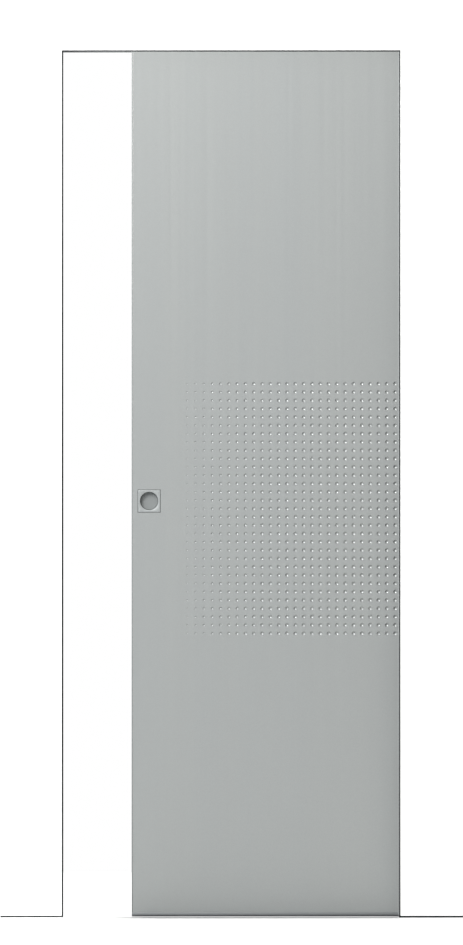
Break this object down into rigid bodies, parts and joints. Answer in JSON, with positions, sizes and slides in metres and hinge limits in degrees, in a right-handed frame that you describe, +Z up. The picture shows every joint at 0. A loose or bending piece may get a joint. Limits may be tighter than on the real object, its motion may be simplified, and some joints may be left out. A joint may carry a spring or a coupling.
{
  "type": "pocket door",
  "caption": "Flush sliding door leaf with a dimpled metallic face, hung in a steel pocket inside a short piece of plastered stud wall.",
  "frame": {"origin": "centre of the wall piece's base, on the floor", "axes": "+X along the wall from the closing jamb to the pocket, +Y from front to back, +Z up"},
  "size_m": [1.87, 0.125, 2.21],
  "materials": {
    "painted_board": "matt white paint on plasterboard",
    "timber": "planed softwood",
    "galvanised_steel": "galvanised sheet",
    "dark_trim": "dark anodised",
    "track_aluminium": "mill finish extrusion",
    "seal_rubber": "matt black",
    "brush_hair": "grey nylon pile",
    "gear_steel": "zinc plated",
    "wheel_nylon": "moulded nylon",
    "leaf_lacquer": "satin metallic lacquer",
    "leaf_edge": "satin anodised strip",
    "bottom_rail": "grey anodised",
    "core_board": "wood fibre core",
    "pull_metal": "satin brushed"
  },
  "bodies": {
    "wall": {"board_front_left": "painted_board", "board_front_head": "painted_board", "board_front_pocket": "painted_board", "board_back_left": "painted_board", "board_back_head": "painted_board", "board_back_pocket": "painted_board", "sole_plate": "timber", "end_stud": "timber", "closing_stud": "timber", "header_beam": "timber", "head_batten_front": "timber", "head_batten_back": "timber", "end_post": "galvanised_steel", "floor_strip_left": "seal_rubber", "floor_strip_pocket": "seal_rubber", "closing_profile": "dark_trim", "closing_seal": "seal_rubber", "mouth_profile_front": "dark_trim", "mouth_profile_back": "dark_trim", "head_profile_front": "dark_trim", "head_profile_back": "dark_trim", "mouth_brush_front": "brush_hair", "mouth_brush_back": "brush_hair", "head_brush_front": "brush_hair", "head_brush_back": "brush_hair", "pocket_side_front": "galvanised_steel", "pocket_side_back": "galvanised_steel", "pocket_buffer": "seal_rubber", "floor_guide": "wheel_nylon", "track_rail": "track_aluminium", "track_stop_closed": "gear_steel", "track_stop_open": "gear_steel"},
    "leaf": {"leaf_core": "core_board", "leaf_facing_front": "leaf_lacquer", "leaf_facing_back": "leaf_lacquer", "leaf_lead_edge": "leaf_edge", "leaf_trail_edge": "leaf_edge", "leaf_bottom_channel": "bottom_rail", "leaf_bottom_seal": "seal_rubber", "pull_front": "pull_metal", "pull_back": "pull_metal", "edge_pull": "pull_metal", "hanger_lead": "gear_steel", "hanger_trail": "gear_steel", "carriage_lead": "gear_steel", "carriage_trail": "gear_steel", "wheels_lead": "wheel_nylon", "wheels_trail": "wheel_nylon"}
  },
  "joints": [
    {"name": "leaf_slide", "type": "slide", "parent": "wall", "child": "leaf", "axis": [1, 0, 0], "range_m": [-0.168, 0.643]}
  ]
}
